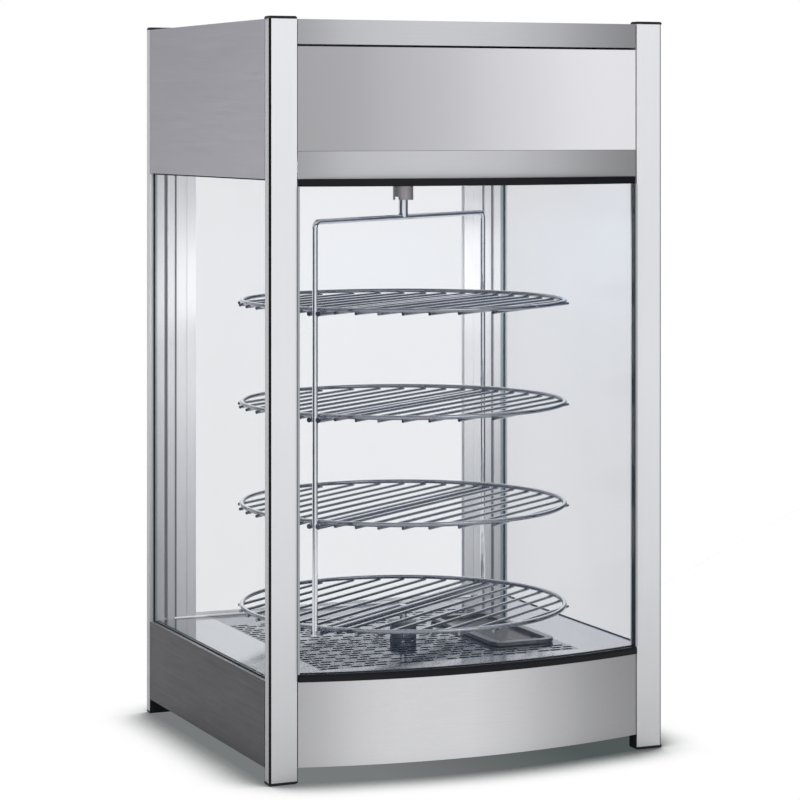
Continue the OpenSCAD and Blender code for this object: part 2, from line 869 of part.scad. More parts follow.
// Loose pan for water on the floor, with a flat rim that turns down at its edge
module water_pan() {
    outer_w = pan_w - 2 * pan_rim;
    outer_l = pan_l - 2 * pan_rim;
    lip_low = 1.2;
    color("silver") translate([pan_x, pan_y, floor_top]) difference() {
        union() {
            linear_extrude(height = pan_h) rounded_plan(outer_w, outer_l, pan_corner - pan_rim);
            translate([0, 0, pan_h - 1]) linear_extrude(height = 1) rounded_plan(pan_w, pan_l, pan_corner);
            translate([0, 0, lip_low]) linear_extrude(height = pan_h - lip_low)
                difference() {
                    rounded_plan(pan_w, pan_l, pan_corner);
                    rounded_plan(pan_w - 2 * pan_wall, pan_l - 2 * pan_wall, pan_corner - pan_wall);
                }
        }
        translate([0, 0, pan_wall]) linear_extrude(height = pan_h)
            rounded_plan(outer_w - 2 * pan_wall, outer_l - 2 * pan_wall, pan_corner - pan_rim - pan_wall);
    }
}

// Stile of the rear door on the hinge side, bored for the hinge pins
module door_stile_hinge() {
    color("gainsboro") difference() {
        translate([0, 0, door_low]) linear_extrude(height = door_top - door_low)
            difference() {
                translate([stile_out - stile_w, door_y]) square([stile_w, stile_t]);
                translate([stile_out - stile_w - 1, door_y + door_pane_y])
                    square([door_grip + 1, pane + 0.1]);
                translate([stile_out - stile_line - line_w, door_y - 1]) square([line_w, 2]);
            }
        translate([hinge_x, hinge_y, door_low - 1]) cylinder(r = hinge_pin_r + fit_gap, h = 14);
        translate([hinge_x, hinge_y, door_top - 13]) cylinder(r = hinge_pin_r + fit_gap, h = 14);
    }
}

// Stile of the rear door on the latch side
module door_stile_latch() {
    color("gainsboro") translate([0, 0, door_low]) linear_extrude(height = door_top - door_low)
        difference() {
            translate([-stile_out, door_y]) square([stile_w, stile_t]);
            translate([-stile_out + stile_w - door_grip, door_y + door_pane_y])
                square([door_grip + 1, pane + 0.1]);
            translate([-stile_out + stile_line, door_y - 1]) square([line_w, 2]);
        }
}

// Slim channels along the foot and the head of the door pane
module door_rails() {
    inner = stile_out - stile_w;
    rail_h = 2.6;
    color("gainsboro") for (z = [door_low, door_top - rail_h])
        difference() {
            translate([-inner, door_y + 1, z]) cube([2 * inner, stile_t - 2, rail_h]);
            translate([-inner - 1, door_y + door_pane_y - 0.05, door_low + 1.5])
                cube([2 * inner + 2, pane + 0.2, door_top - door_low - 3]);
        }
}

// Pane of the rear door
module door_glass() {
    inner = stile_out - stile_w + door_grip - 0.1;
    color("lightblue", 0.35) translate([-inner, door_y + door_pane_y + 0.05, door_low + 1.6])
        cube([2 * inner, pane, door_top - door_low - 3.2]);
}

// Upright pull on the latch stile
module door_handle() {
    x = -stile_out + stile_w / 2;
    back = door_y + stile_t;
    grip_r = 6;
    grip_y = hd + front_bow + 3 - grip_r;
    grip_low = 320;
    grip_l = 150;
    stem_in = 22;
    stem_r = 4;
    color("silver") {
        translate([x, grip_y, grip_low]) cylinder(r = grip_r, h = grip_l);
        for (z = [grip_low + stem_in, grip_low + grip_l - stem_in])
            translate([x, back, z]) rotate([-90, 0, 0])
                cylinder(r = stem_r, h = grip_y - back, $fn = 48);
    }
}

// Hinge pins in the floor and the ceiling, with the washer that carries the door
module door_pivots() {
    color("silver") translate([hinge_x, hinge_y, 0]) {
        translate([0, 0, floor_top - 2.4]) cylinder(r = hinge_pin_r, h = 13);
        translate([0, 0, floor_top]) cylinder(r = 4.4, h = door_low - floor_top - 0.1);
        translate([0, 0, door_top - 11]) cylinder(r = hinge_pin_r, h = ceiling_z + sheet - door_top + 11);
    }
}

// Magnet catch under the upper box
module door_catch() {
    wide = 8;
    deep = 8;
    tall = 4;
    color("dimgray") translate([-168, door_y - deep, upper_low - tall]) {
        cube([wide, deep - 0.1, tall]);
        cube([wide, panel_back - fold - door_y + deep, tall + sheet]);
    }
}

// Rocker at x that tilts on two pins in its bezel, its face hollowed to a shallow vee
module rocker(x) {
    wide = rocker_w - 0.6;
    pin_l = 0.8;
    back = -3;
    mid = 3.6;
    end = 5.4;
    translate([x, rocker_y, control_z]) rotate([-rocker_tilt, 0, 0]) {
        intersection() {
            translate([-wide / 2, 0, 0]) rotate([0, 90, 0]) cylinder(r = rocker_h / 2 - 0.4, h = wide);
            translate([-rocker_w, 0, 0]) rotate([90, 0, 90]) linear_extrude(height = 2 * rocker_w)
                polygon([[back, -rocker_h], [mid + 2 * (end - mid), -rocker_h], [mid, 0],
                    [mid + 2 * (end - mid), rocker_h], [back, rocker_h]]);
        }
        translate([-rocker_w / 2 - pin_l, 0, 0]) rotate([0, 90, 0])
            cylinder(r = rocker_pin_r, h = rocker_w + 2 * pin_l, $fn = 48);
    }
}

module power_rocker() color("darkred") rocker(power_x);
module light_rocker() color("darkgreen") rocker(light_x);

// Frames of the two rocker switches, with their bodies behind the panel
module switch_bezels() {
    wall = 0.95;
    frame = 2.4;
    deep = 20;
    color("black") for (x = [power_x, light_x])
        translate([x, panel_back, control_z]) difference() {
            union() {
                translate([-rocker_w / 2 - frame, 0, -rocker_h / 2 - frame])
                    cube([rocker_w + 2 * frame, 2, rocker_h + 2 * frame]);
                translate([-rocker_w / 2 - wall, -deep, -rocker_h / 2 - wall])
                    cube([rocker_w + 2 * wall, deep + 0.5, rocker_h + 2 * wall]);
            }
            translate([-rocker_w / 2, -8, -rocker_h / 2]) cube([rocker_w, 12, rocker_h]);
            translate([-rocker_w, rocker_y - panel_back, 0]) rotate([0, 90, 0])
                cylinder(r = rocker_pin_r + fit_gap, h = 2 * rocker_w, $fn = 48);
        }
}

// Body and spindle sleeve of the thermostat behind the panel
module thermostat() {
    color("gray") translate([knob_x, panel_back - sheet, control_z]) rotate([90, 0, 0])
        difference() {
            union() {
                cylinder(r = 17, h = 22);
                translate([0, 0, -sheet - 1]) cylinder(r = sleeve_r, h = 3);
            }
            translate([0, 0, -3]) cylinder(r = spindle_r + fit_gap, h = 15);
        }
}

// Thermostat knob with its spindle and pointer rib
module thermostat_knob() {
    front = panel_back + 2;
    grip_r = 13.5;
    grip_top = 14;
    color("black") translate([knob_x, front, control_z]) rotate([-90, 0, 0]) {
        cylinder(r = 17, h = 3);
        translate([0, 0, 2.5]) linear_extrude(height = grip_top - 2.5)
            difference() {
                circle(grip_r);
                for (a = [15:30:345])
                    rotate(a) translate([grip_r + 0.9, 0]) circle(1.8, $fn = 32);
            }
        translate([-1, -11.5, grip_top - 0.5]) cube([2, 10, 1.5]);
        translate([0, 0, -13]) cylinder(r = spindle_r, h = 14, $fn = 48);
    }
}

// Inlet gland in the rear base panel, bored through and left empty
module cord_gland() {
    flange_r = 11;
    flange_t = 4;
    dome_r = 9;
    dome_h = 9;
    color("black") translate([gland_x, panel_back, gland_z]) rotate([-90, 0, 0])
        difference() {
            union() {
                translate([0, 0, -12]) cylinder(r = gland_hole_r - fit_gap, h = 20);
                cylinder(r = flange_r, h = flange_t);
                translate([0, 0, -sheet - flange_t]) cylinder(r = flange_r, h = flange_t);
                translate([0, 0, flange_t]) cylinder(r = dome_r, h = dome_h);
            }
            translate([0, 0, -14]) cylinder(r = cord_r, h = 32);
        }
}

// Screw with a cross slot, its head standing on the plane z = 0
module screw() {
    shank = 6;
    slot = 3.4;
    slot_t = 0.8;
    translate([0, 0, -shank]) cylinder(r = screw_r, h = shank + 0.2, $fn = 48);
    difference() {
        cylinder(r1 = 3, r2 = 2.2, h = 1.8, $fn = 48);
        for (a = [0, 90])
            rotate([0, 0, a]) translate([-slot / 2, -slot_t / 2, 1]) cube([slot, slot_t, 1]);
    }
}

// Screws of the rear panels, of the top bearing and of the motor
module case_screws() {
    color("silver") {
        for (x = [-screw_x, screw_x])
            for (z = concat(base_screw_z, upper_screw_z))
                translate([x, panel_back, z]) rotate([-90, 0, 0]) screw();
        bearing_screw_places() translate([0, 0, ceiling_z - bearing_flange]) mirror([0, 0, 1]) screw();
        for (s = [-1, 1])
            translate([s * motor_screw_x, rack_y, motor_top + bridge_t]) screw();
    }
}

post_front_left();
post_front_right();
post_rear_left();
post_rear_right();
corner_beads();
top_caps();
foot_caps();
base_pan();
base_front_panel();
base_left_panel();
base_right_panel();
base_rear_panel();
floor_plate();
front_lower_trim();
front_upper_trim();
front_glass();
front_glass_seals();
left_glass();
right_glass();
left_gasket();
right_gasket();
upper_left_panel();
upper_right_panel();
upper_rear_panel();
roof_panel();
ceiling_plate();
top_rail();
sign_panel();
lower_rail();
lamp_holders();
lamp_bulbs();
top_bearing();
hanger();
rack_top();
rack_upper();
rack_lower();
rack_bottom();
pivot_pin();
drive_hub();
hub_set_screw();
gear_motor();
motor_bracket();
motor_shaft();
heating_element();
heater_brackets();
water_pan();
door_stile_hinge();
door_stile_latch();
door_rails();
door_glass();
door_handle();
door_pivots();
door_catch();
power_rocker();
light_rocker();
switch_bezels();
thermostat();
thermostat_knob();
cord_gland();
case_screws();
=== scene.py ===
"""Looks of the heated display case: materials, small welds, seals and printed marks, light and camera."""

import math

import bmesh
import bpy
from mathutils import Matrix, Vector


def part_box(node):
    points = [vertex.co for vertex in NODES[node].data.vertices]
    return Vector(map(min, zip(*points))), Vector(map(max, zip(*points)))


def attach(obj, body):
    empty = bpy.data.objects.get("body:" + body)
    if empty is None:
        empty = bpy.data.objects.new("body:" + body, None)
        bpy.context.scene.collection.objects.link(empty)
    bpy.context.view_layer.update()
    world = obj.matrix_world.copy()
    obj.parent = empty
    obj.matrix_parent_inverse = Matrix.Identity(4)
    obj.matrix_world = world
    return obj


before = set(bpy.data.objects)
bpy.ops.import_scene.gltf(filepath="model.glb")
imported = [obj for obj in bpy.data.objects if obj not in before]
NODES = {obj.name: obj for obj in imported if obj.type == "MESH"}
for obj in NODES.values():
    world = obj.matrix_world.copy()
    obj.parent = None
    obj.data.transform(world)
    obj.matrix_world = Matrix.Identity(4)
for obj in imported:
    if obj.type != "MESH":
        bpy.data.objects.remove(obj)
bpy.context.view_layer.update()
MM = 0.001


# Material kit


class Mat:
    """A node material round one Principled shader."""

    def __init__(self, name, colour, **sockets):
        self.material = bpy.data.materials.new(name)
        self.material.use_nodes = True
        self.tree = self.material.node_tree
        self.tree.nodes.clear()
        self.out = self.node("ShaderNodeOutputMaterial")
        self.bsdf = self.node("ShaderNodeBsdfPrincipled")
        self.link(self.bsdf.outputs["BSDF"], self.out.inputs["Surface"])
        self.put("Base Color", (*colour, 1.0))
        self.material.diffuse_color = (*colour, 1.0)
        for key, value in sockets.items():
            self.put(key.replace("_", " "), value)
        self._object = None

    def node(self, kind, **values):
        n = self.tree.nodes.new(kind)
        for key, value in values.items():
            setattr(n, key, value)
        return n

    def link(self, a, b):
        self.tree.links.new(a, b)

    def put(self, socket, value):
        """Sets a socket of the shader to a value, or links it to an output."""
        s = self.bsdf.inputs[socket]
        if isinstance(value, bpy.types.NodeSocket):
            self.link(value, s)
        else:
            s.default_value = value

    def coords(self, scale):
        """Object coordinates, scaled: a feature is about one over the scale, in metres."""
        if self._object is None:
            self._object = self.node("ShaderNodeTexCoord").outputs["Object"]
        m = self.node("ShaderNodeMapping")
        m.inputs["Scale"].default_value = scale
        self.link(self._object, m.inputs["Vector"])
        return m.outputs["Vector"]

    def noise(self, scale, detail=2.0, rough=0.5, distortion=0.0):
        n = self.node("ShaderNodeTexNoise")
        self.link(self.coords(scale), n.inputs["Vector"])
        n.inputs["Scale"].default_value = 1.0
        n.inputs["Detail"].default_value = detail
        n.inputs["Roughness"].default_value = rough
        n.inputs["Distortion"].default_value = distortion
        return n.outputs["Fac"]

    def math(self, operation, a, b=0.0, clamp=False):
        n = self.node("ShaderNodeMath", operation=operation, use_clamp=clamp)
        for value, s in ((a, n.inputs[0]), (b, n.inputs[1])):
            if isinstance(value, bpy.types.NodeSocket):
                self.link(value, s)
            else:
                s.default_value = value
        return n.outputs[0]

    def remap(self, value, low, high, to_low, to_high, smooth=False):
        n = self.node("ShaderNodeMapRange")
        n.interpolation_type = "SMOOTHSTEP" if smooth else "LINEAR"
        self.link(value, n.inputs["Value"])
        for key, v in (("From Min", low), ("From Max", high), ("To Min", to_low), ("To Max", to_high)):
            n.inputs[key].default_value = v
        return n.outputs["Result"]

    def blend(self, factor, a, b):
        """Colour a where factor is 0, b where it is 1."""
        n = self.node("ShaderNodeMix", data_type="RGBA")
        self.link(factor, n.inputs["Factor"])
        inputs = [i for i in n.inputs if i.type == "RGBA"]
        for value, s in zip((a, b), inputs):
            if isinstance(value, bpy.types.NodeSocket):
                self.link(value, s)
            else:
                s.default_value = (*value, 1.0)
        return next(o for o in n.outputs if o.type == "RGBA")

    def painted_gradient(self, colour, painted_light_stops, axis="X"):
        """Colour times a smooth ramp of painted light and shade; the stops are (place in metres, factor)."""
        place = self.position(axis)
        low, high = painted_light_stops[0][0], painted_light_stops[-1][0]
        ramp = self.node("ShaderNodeValToRGB")
        ramp.color_ramp.interpolation = "CARDINAL"
        elements = ramp.color_ramp.elements
        while len(elements) < len(painted_light_stops):
            elements.new(0.5)
        for element, (at, factor) in zip(elements, painted_light_stops):
            element.position = (at - low) / (high - low)
            element.color = (factor, factor, factor, 1.0)
        self.link(self.remap(place, low, high, 0.0, 1.0), ramp.inputs["Fac"])
        n = self.node("ShaderNodeMix", data_type="RGBA", blend_type="MULTIPLY")
        n.inputs["Factor"].default_value = 1.0
        inputs = [i for i in n.inputs if i.type == "RGBA"]
        self.link(colour, inputs[0])
        self.link(ramp.outputs["Color"], inputs[1])
        return next(o for o in n.outputs if o.type == "RGBA")

    def mixed(self, parts):
        """Weighted sum of noises about one half."""
        total = None
        for fac, weight in parts:
            term = self.math("MULTIPLY", self.math("SUBTRACT", fac, 0.5), weight)
            total = term if total is None else self.math("ADD", total, term)
        return self.math("ADD", total, 0.5, clamp=True)

    def bump(self, height, strength, distance):
        n = self.node("ShaderNodeBump")
        n.inputs["Strength"].default_value = strength
        n.inputs["Distance"].default_value = distance
        self.link(height, n.inputs["Height"])
        self.put("Normal", n.outputs["Normal"])

    def facing(self, axis, low, high):
        """1 where the surface faces along an axis, 0 where it stands across it."""
        split = self.node("ShaderNodeSeparateXYZ")
        self.link(self.node("ShaderNodeNewGeometry").outputs["True Normal"], split.inputs[0])
        return self.remap(self.math("ABSOLUTE", split.outputs["XYZ".index(axis)]), low, high, 0.0, 1.0)

    def position(self, axis):
        """One object coordinate, in metres."""
        n = self.node("ShaderNodeSeparateXYZ")
        self.link(self.coords((1, 1, 1)), n.inputs[0])
        return n.outputs["XYZ".index(axis)]


def tint(colour, k):
    return tuple(min(1.0, c * k) for c in colour)


def across(axis, along, cross):
    """Scale that stretches a texture along one axis."""
    return tuple(along if a == axis else cross for a in "XYZ")


def brushed(name, colour, axis, rough=0.34, spread=0.06, contrast=0.07, smear=0.05, aniso=0.55,
            metal=1.0, painted_light_stops=None, stop_axis="X", edge=None):
    """Sheet or profile with a fine grain along one axis, faint smears and roughness that follows it.

    Faces that look up or down take the colour edge, a painted highlight, where one is given.
    """
    m = Mat(name, colour, Metallic=metal, Anisotropic=aniso)
    fine = m.noise(across(axis, 22, 1500), detail=2.5, rough=0.6)
    band = m.noise(across(axis, 7, 420), detail=3.0, rough=0.6)
    cloud = m.noise((9, 9, 9), detail=3.0, rough=0.55)
    grain = m.mixed(((fine, 1.1), (band, 0.6), (cloud, smear * 6)))
    shade = m.blend(grain, tint(colour, 1 - contrast), tint(colour, 1 + contrast))
    # Painted light and shade: a ramp of brightness along one axis, where stops are given
    if painted_light_stops:
        shade = m.painted_gradient(shade, painted_light_stops, stop_axis)
    # Painted highlight: faces that look up or down take the lighter colour edge
    if edge:
        shade = m.blend(m.facing("Z", 0.6, 0.8), shade, edge)
    m.put("Base Color", shade)
    m.put("Roughness", m.remap(grain, 0.2, 0.8, rough - spread, rough + spread))
    m.bump(fine, 0.10, 0.00012)
    return m


def moulded(name, colour, rough=0.42, grain=900, depth=0.00008, metal=0.0, wear=0.25, specular=0.5):
    """Moulded plastic, rubber or paint with an even fine skin and slightly duller and paler patches."""
    m = Mat(name, colour, Metallic=metal, Specular_IOR_Level=specular)
    skin = m.noise((grain,) * 3, detail=2.0)
    patch = m.noise((22, 22, 22), detail=4.0, rough=0.6)
    worn = m.remap(patch, 0.45, 0.72, 0.0, wear, smooth=True)
    m.put("Base Color", m.blend(worn, colour, tuple(c + 0.02 for c in colour)))
    m.put("Roughness", m.remap(patch, 0.25, 0.75, rough - 0.06, rough + 0.08))
    m.bump(skin, 0.35, depth)
    return m


def pane(name, normal_axis, veil, colour, rim):
    """Thin sheet glass: a faint cool veil, smudged a little, with its own colour at the cut edges."""
    m = Mat(name, colour, Roughness=0.05, IOR=1.5)
    edge = m.math("SUBTRACT", 1.0, m.facing(normal_axis, 0.45, 0.75))
    cloud = m.noise((3.0, 3.0, 1.6), detail=2.0, rough=0.5)
    m.put("Base Color", m.blend(edge, colour, rim))
    thin = m.remap(cloud, 0.3, 0.7, veil * 0.9, veil * 1.1, smooth=True)
    m.put("Alpha", m.math("ADD", thin, m.math("MULTIPLY", edge, 0.6), clamp=True))
    m.put("Roughness", m.remap(cloud, 0.2, 0.8, 0.03, 0.08))
    return m


# Materials

ALUMINIUM = (0.935, 0.94, 0.955)
STEEL = (0.60, 0.60, 0.62)

# Painted light and shade: places along X, Y or Z in metres and the brightness painted there, as the studio
# lights each sheet; darker towards the feet of the posts and stiles and towards the rear of the side panels,
# and painted reflections across the rails, the base front and the sign
POST_PAINTED_SHADE = ((0.0, 0.655), (0.06, 0.71), (0.19, 0.86), (0.40, 0.99), (0.80, 1.03))
STILE_PAINTED_LIGHT = ((0.10, 0.66), (0.22, 0.82), (0.40, 1.0), (0.64, 1.06))
DOOR_PAINTED_LIGHT = ((0.10, 0.78), (0.22, 0.92), (0.40, 1.02), (0.64, 1.06))
RAIL_PAINTED_REFLECTION = ((-0.200, 0.63), (-0.15, 0.84), (-0.07, 0.98), (0.00, 0.99), (0.06, 0.89), (0.12, 0.70),
              (0.200, 0.455))
FRONT_PAINTED_REFLECTION = ((-0.200, 0.64), (-0.14, 0.89), (-0.06, 1.03), (0.00, 0.97), (0.06, 0.80), (0.12, 0.60),
               (0.200, 0.44))
SIGN_PAINTED_REFLECTION = ((-0.200, 0.47), (-0.11, 0.56), (0.00, 0.735), (0.10, 0.92), (0.200, 1.02))
SIDE_PAINTED_SHADE = ((-0.19, 1.0), (0.19, 0.86))

post_alu = brushed("post_alu", ALUMINIUM, "Z", rough=0.46, spread=0.04, contrast=0.02, smear=0.04,
                   aniso=0.3, metal=0.5, painted_light_stops=POST_PAINTED_SHADE, stop_axis="Z")
# The posts' side faces are duller than their front faces
post_alu.put("Metallic", post_alu.remap(post_alu.facing("X", 0.5, 0.8), 0.0, 1.0, 0.5, 0.0))
rear_alu = brushed("rear_alu", (0.93, 0.93, 0.935), "Z", rough=0.42, spread=0.04, contrast=0.01,
                   aniso=0.3, metal=0.1, painted_light_stops=STILE_PAINTED_LIGHT, stop_axis="Z")
stile_alu = brushed("stile_alu", (0.97, 0.97, 0.975), "Z", rough=0.42, spread=0.04, contrast=0.01,
                    aniso=0.3, metal=0.0, painted_light_stops=DOOR_PAINTED_LIGHT, stop_axis="Z")
rail_alu = brushed("rail_alu", (0.95, 0.95, 0.955), "X", rough=0.44, spread=0.04, contrast=0.01,
                   aniso=0.3, metal=0.0)
rail_steel = brushed("rail_steel", tint(STEEL, 1.05), "X", rough=0.33, contrast=0.06, painted_light_stops=RAIL_PAINTED_REFLECTION)
front_steel = brushed("front_steel", tint(STEEL, 1.1), "X", rough=0.36, contrast=0.07, painted_light_stops=FRONT_PAINTED_REFLECTION)
side_steel = brushed("side_steel", (0.58, 0.565, 0.62), "Y", rough=0.44, contrast=0.03, smear=0.03,
                     painted_light_stops=SIDE_PAINTED_SHADE, stop_axis="Y")
# Base side panels: the same steel painted dark as shade, with a painted highlight on the faces that look up
# or down
base_side_painted_shade = brushed("base_side_painted_shade", (0.071, 0.070, 0.075), "Y", rough=0.42, contrast=0.10,
                          smear=0.10, edge=(0.50, 0.50, 0.52))
rear_steel = brushed("rear_steel", STEEL, "X", rough=0.38, contrast=0.07)
roof_steel = brushed("roof_steel", STEEL, "X", rough=0.36, contrast=0.07)
sign_metal = brushed("sign_metal", (0.80, 0.79, 0.82), "Z", rough=0.24, spread=0.01, contrast=0.008,
                     smear=0.01, aniso=0.0, painted_light_stops=SIGN_PAINTED_REFLECTION)
ceiling_steel = brushed("ceiling_steel", (0.7, 0.7, 0.71), "Y", rough=0.24, contrast=0.06)
zinc = brushed("zinc", (0.10, 0.105, 0.11), "Y", rough=0.45, contrast=0.18, smear=0.2)

# Middle, half width and front of the slotted field, where the steel is painted darker as shade for the slots
FIELD_X, FIELD_HALF, FIELD_FRONT = -4.75 * MM, 154.0 * MM, -164.5 * MM
FIELD_FADE = 1.5 * MM
FIELD_PAINTED_SHADE = (0.27, 0.285, 0.31)
HEAT_TINT = (0.66, 0.64, 0.60)
SLOT_PAINTED_SHADE = (0.004, 0.005, 0.006)


def polished_floor():
    """Slotted floor: mirror-like steel with fine scratches and a little heat tint; painted shade darkens the
    slotted field and turns the slot walls near-black.
    """
    colour = (0.66, 0.67, 0.685)
    m = Mat("polished_floor", colour, Metallic=1.0)
    scratch = m.noise(across("X", 6, 900), detail=2.0, distortion=0.4)
    cloud = m.noise((7, 7, 7), detail=4.0, rough=0.6)
    heat = m.noise((4, 4, 4), detail=2.0)
    worn = m.mixed(((scratch, 0.5), (cloud, 0.9)))
    steel = m.blend(worn, tint(colour, 0.90), tint(colour, 1.06))
    warm = m.remap(heat, 0.5, 0.8, 0.0, 0.25, smooth=True)
    flat = m.facing("Z", 0.5, 0.8)
    side = m.math("ABSOLUTE", m.math("SUBTRACT", m.position("X"), FIELD_X))
    field_shade_mask = m.remap(side, FIELD_HALF, FIELD_HALF + FIELD_FADE, 1.0, 0.0)
    front = m.remap(m.position("Y"), FIELD_FRONT - FIELD_FADE, FIELD_FRONT, 0.0, 1.0)
    # Painted shade: the slotted field is darker than the rest of the plate
    steel = m.blend(m.math("MULTIPLY", field_shade_mask, front), steel, FIELD_PAINTED_SHADE)
    # Painted shade: slot walls near-black
    m.put("Base Color", m.blend(flat, SLOT_PAINTED_SHADE, m.blend(warm, steel, HEAT_TINT)))
    m.put("Metallic", flat)
    m.put("Specular IOR Level", m.remap(flat, 0.0, 1.0, 0.0, 0.5))
    m.put("Roughness", m.math("MAXIMUM", m.remap(worn, 0.2, 0.8, 0.07, 0.16),
                              m.remap(flat, 0.0, 1.0, 0.7, 0.0)))
    m.bump(scratch, 0.04, 0.00010)
    return m


def bright_wire(name, colour, rough, painted_highlight=None):
    """Plated wire with dull patches and drawn lines; faces that look up take a painted highlight colour,
    where given.
    """
    m = Mat(name, colour, Metallic=1.0)
    patch = m.noise((60, 60, 60), detail=4.0, rough=0.65)
    fine = m.noise((700, 700, 700), detail=1.0)
    mix = m.mixed(((patch, 1.0), (fine, 0.3)))
    body = m.blend(mix, tint(colour, 0.80), tint(colour, 1.12))
    # Painted highlight on the faces that look up, where given
    m.put("Base Color", body if painted_highlight is None else m.blend(m.facing("Z", 0.72, 0.95), body, painted_highlight))
    m.put("Roughness", m.remap(mix, 0.2, 0.8, rough - 0.04, rough + 0.06))
    m.bump(patch, 0.10, 0.0002)
    return m


PAN_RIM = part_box("water_pan")[1].z
RIM_HIGHLIGHT_FADE = (0.7 * MM, 0.2 * MM)
LIME = (0.30, 0.29, 0.27)
RIM_PAINTED_HIGHLIGHT = (0.36, 0.35, 0.335)


def pan_metal():
    """Water pan: dark grey steel with dried lime marks, and a paler band at the top of the rim, a painted
    highlight.
    """
    colour = (0.18, 0.163, 0.147)
    m = Mat("pan_metal", colour, Metallic=1.0)
    grain = m.noise(across("Y", 20, 1200), detail=2.0)
    spots = m.noise((55, 55, 55), detail=5.0, rough=0.7)
    lime = m.remap(spots, 0.52, 0.70, 0.0, 0.5, smooth=True)
    base = m.blend(grain, tint(colour, 0.85), tint(colour, 1.1))
    # Painted highlight: a paler band along the top of the rim
    rim = m.remap(m.position("Z"), PAN_RIM - RIM_HIGHLIGHT_FADE[0], PAN_RIM - RIM_HIGHLIGHT_FADE[1], 0.0, 1.0)
    base = m.blend(lime, base, LIME)
    m.put("Base Color", m.blend(rim, base, RIM_PAINTED_HIGHLIGHT))
    m.put("Roughness", m.remap(spots, 0.3, 0.7, 0.24, 0.42))
    m.bump(grain, 0.08, 0.0001)
    return m


def frosted_glass():
    """Bulb glass, frosted and a little uneven."""
    m = Mat("frost", (0.92, 0.90, 0.84), Roughness=0.5)
    cloud = m.noise((40, 40, 40), detail=3.0)
    m.put("Base Color", m.blend(cloud, (0.88, 0.86, 0.80), (0.97, 0.95, 0.90)))
    m.bump(m.noise((900, 900, 900)), 0.2, 0.0001)
    return m


floor_metal = polished_floor()
# Rack wire: its body painted dark for the dark surroundings it reflects, with a painted highlight on the
# faces that look up
wire = bright_wire("wire", (0.29, 0.30, 0.32), 0.05, painted_highlight=(0.86, 0.87, 0.89))
hanger_wire = bright_wire("hanger_wire", (0.84, 0.85, 0.87), 0.04)
handle_metal = bright_wire("handle_metal", (0.68, 0.68, 0.70), 0.20)
screw_metal = bright_wire("screw_metal", (0.50, 0.50, 0.51), 0.26)
pan_steel = pan_metal()
black_trim = moulded("black_trim", (0.006, 0.006, 0.009), rough=0.45, wear=0.12, specular=0.18)
black_cap = moulded("black_cap", (0.012, 0.012, 0.014), rough=0.48, wear=0.3, specular=0.25)
rubber = moulded("rubber", (0.014, 0.014, 0.017), rough=0.62, grain=1400, wear=0.2, specular=0.2)
SEAL_FACE, SEAL_SIDE_PAINTED_SHADE = (0.46, 0.48, 0.51), (0.02, 0.022, 0.026)
seal = moulded("seal", SEAL_FACE, rough=0.4, grain=1400, wear=0.2)
# Painted shade: the seal's faces that look sideways are near-black
seal.put("Base Color", seal.blend(seal.facing("X", 0.4, 0.7), SEAL_FACE, SEAL_SIDE_PAINTED_SHADE))
# Dark rubber of the door seals, and painted shade for the strips in the post grooves
rubber_and_groove_shade = moulded("rubber_and_groove_shade", (0.16, 0.17, 0.18), rough=0.5, grain=1400, wear=0.2, specular=0.3)
dark_metal = moulded("dark_metal", (0.14, 0.13, 0.13), rough=0.34, metal=0.6, wear=0.5)
motor_paint = moulded("motor_paint", (0.20, 0.21, 0.22), rough=0.45, metal=0.4, wear=0.5)
sheath = moulded("sheath", (0.085, 0.075, 0.068), rough=0.55, metal=0.5, wear=0.8)
ceramic = moulded("ceramic", (0.82, 0.81, 0.77), rough=0.25, wear=0.1)
knob_plastic = moulded("knob_plastic", (0.02, 0.02, 0.021), rough=0.40, wear=0.3)
red_plastic = moulded("red_plastic", (0.42, 0.012, 0.010), rough=0.22, wear=0.2)
green_plastic = moulded("green_plastic", (0.010, 0.26, 0.06), rough=0.22, wear=0.2)
white_print = moulded("white_print", (0.78, 0.78, 0.76), rough=0.5, wear=0.1)
weld_metal = bright_wire("weld_metal", (0.13, 0.13, 0.13), 0.30)
for lamp_part in (red_plastic, green_plastic):
    lamp_part.put("Coat Weight", 0.4)
    lamp_part.put("Coat Roughness", 0.08)

DARK_RIM = (0.035, 0.055, 0.065)
PALE_RIM = (0.50, 0.60, 0.59)
COOL_VEIL = (0.17, 0.27, 0.44)
front_pane = pane("front_pane", "Y", 0.055, COOL_VEIL, DARK_RIM)
left_pane = pane("left_pane", "X", 0.10, (0.17, 0.23, 0.35), PALE_RIM)
right_pane = pane("right_pane", "X", 0.16, (0.19, 0.24, 0.35), PALE_RIM)
door_pane = pane("door_pane", "Y", 0.055, COOL_VEIL, PALE_RIM)

frost = frosted_glass()

